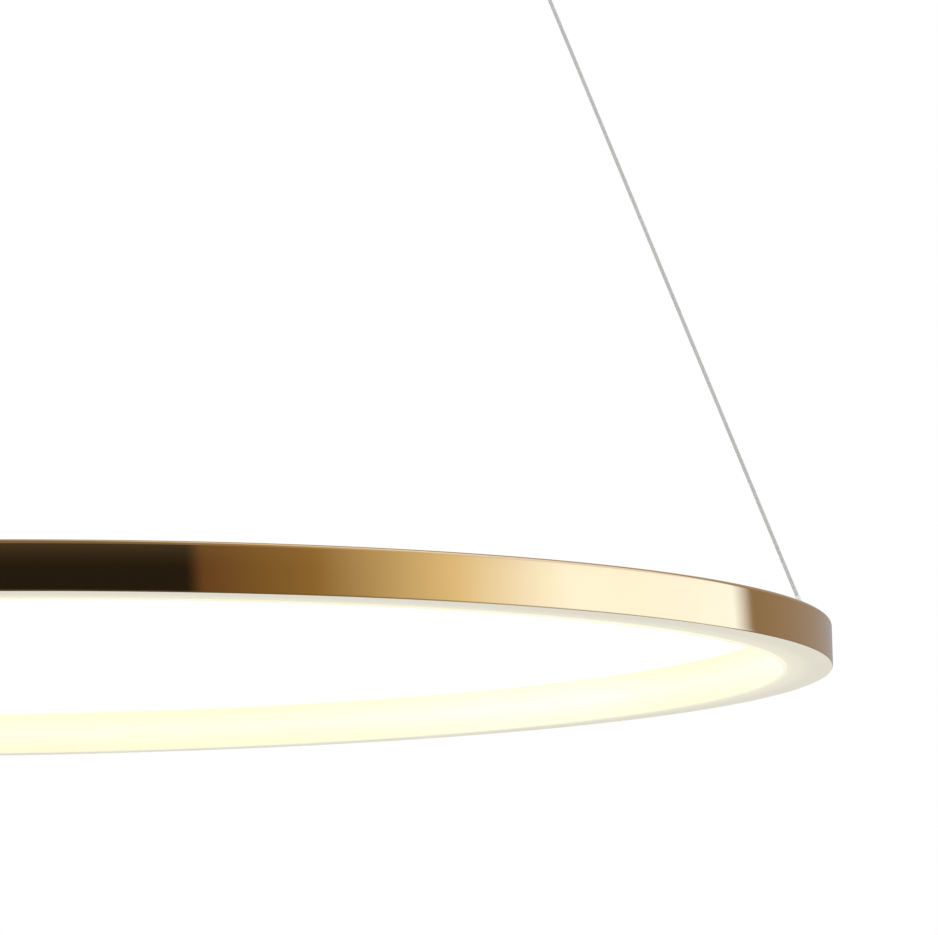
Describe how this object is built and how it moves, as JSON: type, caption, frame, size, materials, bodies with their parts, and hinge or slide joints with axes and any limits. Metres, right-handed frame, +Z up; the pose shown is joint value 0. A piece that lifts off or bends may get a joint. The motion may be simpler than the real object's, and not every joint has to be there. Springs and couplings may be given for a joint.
{
  "type": "led ring chandelier",
  "caption": "Slim ring-shaped ceiling light: gold outer band, white underside and glowing inner face, hung by slanting cables from a round canopy.",
  "frame": {"origin": "centre of the ceiling face, midway between the two ceiling screws", "axes": "+Z up, into the ceiling; +X along the line of the ceiling screws"},
  "size_m": [0.8999, 0.9, 1.14],
  "materials": {
    "polished_gold": "polished gold-coloured metal, mirror-like",
    "white_paint": "aluminium profile with matte white paint",
    "opal_acrylic": "opal acrylic that glows warm white",
    "circuit_strip": "white flexible circuit",
    "light_chip": "yellow phosphor chip",
    "clear_plastic": "clear to milky insulating plastic",
    "plated_steel": "nickel-plated steel",
    "zinc_steel": "pressed zinc-plated steel",
    "black_rubber": "black rubber",
    "driver_case": "white moulded plastic",
    "terminal_plastic": "natural nylon",
    "lead_insulation": "thin wire insulation",
    "steel_cable": "stranded steel cable in a clear jacket",
    "spring_steel": "bright spring wire"
  },
  "bodies": {
    "canopy": {"ceiling_plate": "zinc_steel", "entry_grommet": "black_rubber", "canopy_cover": "polished_gold", "cover_screws": "polished_gold", "gripper_nuts": "polished_gold", "cable_stops": "plated_steel", "led_driver": "driver_case", "earth_screw": "plated_steel", "driver_screws": "plated_steel", "terminal_block": "terminal_plastic", "terminal_screws": "plated_steel", "supply_leads": "lead_insulation", "output_leads": "clear_plastic", "gripper_body_1": "polished_gold", "gripper_body_2": "polished_gold", "gripper_body_3": "polished_gold", "plunger_spring_1": "spring_steel", "plunger_spring_2": "spring_steel", "plunger_spring_3": "spring_steel", "cable_tail_1": "steel_cable", "cable_tail_2": "steel_cable", "cable_tail_3": "steel_cable", "suspension_cable_1": "steel_cable", "suspension_cable_2": "steel_cable", "suspension_cable_3": "steel_cable"},
    "ring": {"outer_band": "polished_gold", "ring_housing": "white_paint", "diffuser": "opal_acrylic", "led_strip": "circuit_strip", "led_chips": "light_chip", "insulating_washers": "clear_plastic", "anchor_nuts": "plated_steel", "ring_leads": "lead_insulation", "cable_anchor_1": "plated_steel", "cable_anchor_2": "plated_steel", "cable_anchor_3": "plated_steel"},
    "ball_1": {"cable_end_1": "plated_steel"},
    "ball_2": {"cable_end_2": "plated_steel"},
    "ball_3": {"cable_end_3": "plated_steel"},
    "plunger_1": {"release_plunger_1": "polished_gold", "locking_balls_1": "plated_steel"},
    "plunger_2": {"release_plunger_2": "polished_gold", "locking_balls_2": "plated_steel"},
    "plunger_3": {"release_plunger_3": "polished_gold", "locking_balls_3": "plated_steel"}
  },
  "joints": [
    {"name": "ring_height", "type": "slide", "parent": "canopy", "child": "ring", "axis": [0, 0, 1], "range_m": [0, 0.5], "deforming": ["suspension_cable_1", "suspension_cable_2", "suspension_cable_3"]},
    {"name": "cable_end_1_tilt", "type": "hinge", "parent": "ring", "child": "ball_1", "pos_m": [0.42404, -0.11362, -1.1205], "axis": [-0.2588, -0.9659, 0], "range_deg": [0, 15]},
    {"name": "cable_end_2_tilt", "type": "hinge", "parent": "ring", "child": "ball_2", "pos_m": [-0.11362, 0.42404, -1.1205], "axis": [0.9659, 0.2588, 0], "range_deg": [0, 15]},
    {"name": "cable_end_3_tilt", "type": "hinge", "parent": "ring", "child": "ball_3", "pos_m": [-0.31042, -0.31042, -1.1205], "axis": [-0.7071, 0.7071, 0], "range_deg": [0, 15]},
    {"name": "plunger_1_press", "type": "slide", "parent": "canopy", "child": "plunger_1", "axis": [0, 0, 1], "range_m": [0, 0.002], "stiffness_N_per_m": 300, "springref_m": -0.002, "deforming": ["plunger_spring_1"]},
    {"name": "plunger_2_press", "type": "slide", "parent": "canopy", "child": "plunger_2", "axis": [0, 0, 1], "range_m": [0, 0.002], "stiffness_N_per_m": 300, "springref_m": -0.002, "deforming": ["plunger_spring_2"]},
    {"name": "plunger_3_press", "type": "slide", "parent": "canopy", "child": "plunger_3", "axis": [0, 0, 1], "range_m": [0, 0.002], "stiffness_N_per_m": 300, "springref_m": -0.002, "deforming": ["plunger_spring_3"]}
  ],
  "couplings": [
    {"joint": "cable_end_1_tilt", "follows": "ring_height", "rad_per_m": 0.51758},
    {"joint": "cable_end_2_tilt", "follows": "ring_height", "rad_per_m": 0.51758},
    {"joint": "cable_end_3_tilt", "follows": "ring_height", "rad_per_m": 0.51758}
  ]
}
